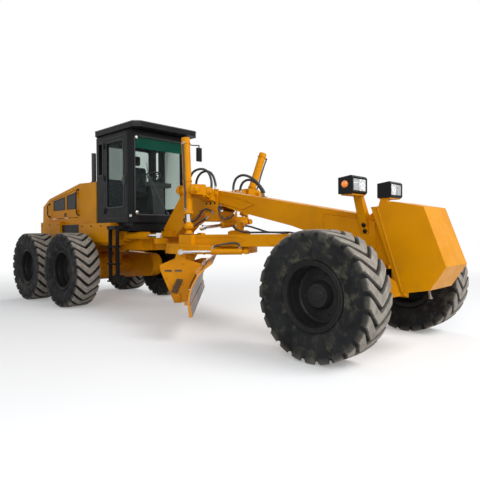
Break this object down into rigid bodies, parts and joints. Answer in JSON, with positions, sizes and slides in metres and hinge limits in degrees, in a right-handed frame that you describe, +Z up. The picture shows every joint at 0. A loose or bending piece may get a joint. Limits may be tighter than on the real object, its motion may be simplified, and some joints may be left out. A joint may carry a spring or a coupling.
{
  "type": "motor grader",
  "caption": "Articulated six-wheel motor grader with a cab, a rear hood, a raised curved blade on a turning circle, leaning steered front wheels and a front push weight.",
  "frame": {"origin": "on the ground, under the middle of the machine's bounding box", "axes": "+X forward, +Y to the driver's left, +Z up"},
  "size_m": [8.665, 2.9533, 3.245],
  "materials": {
    "black": "satin paint",
    "cast": "dull",
    "chrome": "polished",
    "glass": "tinted, clear",
    "rubber": "matt",
    "trim": "matt",
    "yellow": "satin paint"
  },
  "bodies": {
    "rear_frame": {"rear_frame": "yellow", "tandem_axle": "yellow", "hood": "yellow", "radiator_grille": "black", "engine": "cast", "cab_body": "black", "cab_roof": "black", "windshield": "glass", "rear_window": "glass", "seat": "trim", "steering_console": "trim", "mirror": "black", "exhaust_stack": "cast"},
    "front_frame": {"front_frame": "yellow", "head_lamp_right": "black", "head_lamp_left": "black", "front_counterweight": "yellow", "lift_saddle": "yellow", "front_axle": "yellow"},
    "drawbar_ball": {"drawbar_ball": "cast"},
    "drawbar": {"drawbar": "yellow"},
    "circle": {"circle": "yellow"},
    "tilt_bracket": {"tilt_bracket": "yellow"},
    "blade": {"moldboard": "yellow", "side_shift_rod": "chrome"},
    "lean_bar": {"lean_bar": "cast"},
    "pitch_cylinder_barrel": {"pitch_cylinder_barrel": "yellow"},
    "pitch_cylinder_rod": {"pitch_cylinder_rod": "chrome"},
    "swing_cylinder_barrel": {"swing_cylinder_barrel": "yellow"},
    "swing_cylinder_rod": {"swing_cylinder_rod": "chrome"},
    "lean_yoke_right": {"lean_yoke_right": "yellow"},
    "knuckle_right": {"knuckle_right": "cast"},
    "cab_door_right": {"cab_door_right": "black", "door_glass_right": "glass"},
    "hood_door_right": {"hood_door_right": "yellow"},
    "lift_cylinder_right_barrel": {"lift_cylinder_right_barrel": "yellow"},
    "lift_cylinder_right_rod": {"lift_cylinder_right_rod": "chrome"},
    "articulation_cylinder_right_barrel": {"articulation_cylinder_right_barrel": "yellow"},
    "articulation_cylinder_right_rod": {"articulation_cylinder_right_rod": "chrome"},
    "lean_yoke_left": {"lean_yoke_left": "yellow"},
    "knuckle_left": {"knuckle_left": "cast"},
    "cab_door_left": {"cab_door_left": "black", "door_glass_left": "glass"},
    "hood_door_left": {"hood_door_left": "yellow"},
    "lift_cylinder_left_barrel": {"lift_cylinder_left_barrel": "yellow"},
    "lift_cylinder_left_rod": {"lift_cylinder_left_rod": "chrome"},
    "articulation_cylinder_left_barrel": {"articulation_cylinder_left_barrel": "yellow"},
    "articulation_cylinder_left_rod": {"articulation_cylinder_left_rod": "chrome"},
    "wheel_front_right": {"tyre_front_right": "rubber", "rim_front_right": "black"},
    "wheel_front_left": {"tyre_front_left": "rubber", "rim_front_left": "black"},
    "wheel_middle_right": {"tyre_middle_right": "rubber", "rim_middle_right": "black"},
    "wheel_middle_left": {"tyre_middle_left": "rubber", "rim_middle_left": "black"},
    "wheel_rear_right": {"tyre_rear_right": "rubber", "rim_rear_right": "black"},
    "wheel_rear_left": {"tyre_rear_left": "rubber", "rim_rear_left": "black"}
  },
  "joints": [
    {"name": "articulation", "type": "hinge", "parent": "rear_frame", "child": "front_frame", "pos_m": [-0.585, 0, 1.05], "axis": [0, 0, 1], "range_deg": [-27, 27]},
    {"name": "wheel_lean_right", "type": "hinge", "parent": "front_frame", "child": "lean_yoke_right", "pos_m": [3.365, -0.66, 0.55], "axis": [1, 0, 0], "range_deg": [-17, 17]},
    {"name": "steering_right", "type": "hinge", "parent": "lean_yoke_right", "child": "knuckle_right", "pos_m": [3.365, -0.8, 0.675], "axis": [0, 0, 1], "range_deg": [-50, 50]},
    {"name": "wheel_lean_left", "type": "hinge", "parent": "front_frame", "child": "lean_yoke_left", "pos_m": [3.365, 0.66, 0.55], "axis": [1, 0, 0], "range_deg": [-17, 17]},
    {"name": "steering_left", "type": "hinge", "parent": "lean_yoke_left", "child": "knuckle_left", "pos_m": [3.365, 0.8, 0.675], "axis": [0, 0, 1], "range_deg": [-50, 50]},
    {"name": "lean_bar_pin", "type": "hinge", "parent": "lean_yoke_right", "child": "lean_bar", "pos_m": [3.19, -0.62, 0.87], "axis": [1, 0, 0], "range_deg": [-17, 17]},
    {"name": "wheel_roll_front_right", "type": "hinge", "parent": "knuckle_right", "child": "wheel_front_right", "pos_m": [3.365, -1.078, 0.675], "axis": [0, 1, 0], "continuous": true},
    {"name": "wheel_roll_front_left", "type": "hinge", "parent": "knuckle_left", "child": "wheel_front_left", "pos_m": [3.365, 1.078, 0.675], "axis": [0, 1, 0], "continuous": true},
    {"name": "wheel_roll_middle_right", "type": "hinge", "parent": "rear_frame", "child": "wheel_middle_right", "pos_m": [-2.085, -1.078, 0.675], "axis": [0, 1, 0], "continuous": true},
    {"name": "wheel_roll_middle_left", "type": "hinge", "parent": "rear_frame", "child": "wheel_middle_left", "pos_m": [-2.085, 1.078, 0.675], "axis": [0, 1, 0], "continuous": true},
    {"name": "wheel_roll_rear_right", "type": "hinge", "parent": "rear_frame", "child": "wheel_rear_right", "pos_m": [-3.623, -1.078, 0.675], "axis": [0, 1, 0], "continuous": true},
    {"name": "wheel_roll_rear_left", "type": "hinge", "parent": "rear_frame", "child": "wheel_rear_left", "pos_m": [-3.623, 1.078, 0.675], "axis": [0, 1, 0], "continuous": true},
    {"name": "drawbar_swing", "type": "hinge", "parent": "front_frame", "child": "drawbar_ball", "pos_m": [2.615, 0, 1.08], "axis": [0, 0, 1], "range_deg": [-11.5, 4.5]},
    {"name": "drawbar_lift", "type": "hinge", "parent": "drawbar_ball", "child": "drawbar", "pos_m": [2.615, 0, 1.08], "axis": [-0.061, 0.9981, 0], "range_deg": [-21, 2.6]},
    {"name": "circle_turn", "type": "hinge", "parent": "drawbar", "child": "circle", "pos_m": [0.66864, -0.11904, 0], "axis": [0, 0, 1], "continuous": true},
    {"name": "blade_pitch", "type": "hinge", "parent": "circle", "child": "tilt_bracket", "pos_m": [0.34662, -0.44753, 0.42], "axis": [-0.7141, 0.7, 0], "range_deg": [-2.3, 39.7]},
    {"name": "blade_side_shift", "type": "slide", "parent": "tilt_bracket", "child": "blade", "axis": [-0.7141, 0.7, 0], "range_m": [-0.39, 0.61]},
    {"name": "pitch_barrel_pin", "type": "hinge", "parent": "circle", "child": "pitch_cylinder_barrel", "pos_m": [1.64707, -0.37802, 1.06], "axis": [-0.7141, 0.7, 0], "range_deg": [-20.22, 1.18]},
    {"name": "pitch_rod_slide", "type": "slide", "parent": "pitch_cylinder_barrel", "child": "pitch_cylinder_rod", "axis": [-0.7, -0.7141, 0], "range_m": [-0.3623, 0.0215]},
    {"name": "swing_barrel_pin", "type": "hinge", "parent": "front_frame", "child": "swing_cylinder_barrel", "pos_m": [0.99, 0.4, 1.5], "axis": [1, 0, 0], "range_deg": [-3.72, 29.98]},
    {"name": "swing_rod_slide", "type": "slide", "parent": "swing_cylinder_barrel", "child": "swing_cylinder_rod", "axis": [0.008, -0.9949, -0.1005], "range_m": [-0.3263, 0.128]},
    {"name": "lift_barrel_swing_right", "type": "hinge", "parent": "front_frame", "child": "lift_cylinder_right_barrel", "pos_m": [0.765, -0.68, 1.96], "axis": [1, 0, 0], "range_deg": [-14.05, 35.89]},
    {"name": "lift_rod_slide_right", "type": "slide", "parent": "lift_cylinder_right_barrel", "child": "lift_cylinder_right_rod", "axis": [0.0723, -0.0221, -0.9971], "range_m": [-0.0853, 0.6854]},
    {"name": "articulation_barrel_pin_right", "type": "hinge", "parent": "rear_frame", "child": "articulation_cylinder_right_barrel", "pos_m": [-1.235, -0.45, 1.29], "axis": [0, 0, 1], "range_deg": [-8.8, 8.8]},
    {"name": "articulation_rod_slide_right", "type": "slide", "parent": "articulation_cylinder_right_barrel", "child": "articulation_cylinder_right_rod", "axis": [1, 0, 0], "range_m": [-0.2099, 0.2099]},
    {"name": "cab_door_right_hinge", "type": "hinge", "parent": "rear_frame", "child": "cab_door_right", "pos_m": [-1.62, -0.664, 1.6], "axis": [0, 0, -1], "range_deg": [0, 90]},
    {"name": "hood_door_right_hinge", "type": "hinge", "parent": "rear_frame", "child": "hood_door_right", "pos_m": [-2.66, -0.654, 1.66], "axis": [0, 0, 1], "range_deg": [0, 75]},
    {"name": "lift_barrel_swing_left", "type": "hinge", "parent": "front_frame", "child": "lift_cylinder_left_barrel", "pos_m": [0.765, 0.68, 1.96], "axis": [1, 0, 0], "range_deg": [-14.05, 35.89]},
    {"name": "lift_rod_slide_left", "type": "slide", "parent": "lift_cylinder_left_barrel", "child": "lift_cylinder_left_rod", "axis": [-0.0553, -0.3701, -0.9273], "range_m": [-0.0826, 0.6633]},
    {"name": "articulation_barrel_pin_left", "type": "hinge", "parent": "rear_frame", "child": "articulation_cylinder_left_barrel", "pos_m": [-1.235, 0.45, 1.29], "axis": [0, 0, 1], "range_deg": [-8.8, 8.8]},
    {"name": "articulation_rod_slide_left", "type": "slide", "parent": "articulation_cylinder_left_barrel", "child": "articulation_cylinder_left_rod", "axis": [1, 0, 0], "range_m": [-0.2099, 0.2099]},
    {"name": "cab_door_left_hinge", "type": "hinge", "parent": "rear_frame", "child": "cab_door_left", "pos_m": [-1.62, 0.664, 1.6], "axis": [0, 0, 1], "range_deg": [0, 90]},
    {"name": "hood_door_left_hinge", "type": "hinge", "parent": "rear_frame", "child": "hood_door_left", "pos_m": [-2.66, 0.654, 1.66], "axis": [0, 0, -1], "range_deg": [0, 75]}
  ],
  "couplings": [
    {"joint": "wheel_lean_left", "follows": "wheel_lean_right", "ratio": 1},
    {"joint": "steering_left", "follows": "steering_right", "ratio": 1},
    {"joint": "lean_bar_pin", "follows": "wheel_lean_right", "ratio": -1},
    {"joint": "pitch_barrel_pin", "follows": "blade_pitch", "ratio": -0.50906},
    {"joint": "pitch_rod_slide", "follows": "blade_pitch", "m_per_rad": -0.52222},
    {"joint": "swing_barrel_pin", "follows": "drawbar_lift", "ratio": -1.4273},
    {"joint": "swing_rod_slide", "follows": "drawbar_swing", "m_per_rad": 1.6231},
    {"joint": "lift_barrel_swing_right", "follows": "drawbar_swing", "ratio": -3.1197},
    {"joint": "lift_rod_slide_right", "follows": "drawbar_lift", "m_per_rad": -1.8688},
    {"joint": "articulation_barrel_pin_right", "follows": "articulation", "ratio": 0.3256},
    {"joint": "articulation_rod_slide_right", "follows": "articulation", "m_per_rad": 0.44442},
    {"joint": "lift_barrel_swing_left", "follows": "drawbar_swing", "ratio": -3.1197},
    {"joint": "lift_rod_slide_left", "follows": "drawbar_lift", "m_per_rad": -1.8084},
    {"joint": "articulation_barrel_pin_left", "follows": "articulation", "ratio": 0.3256},
    {"joint": "articulation_rod_slide_left", "follows": "articulation", "m_per_rad": -0.44442}
  ]
}
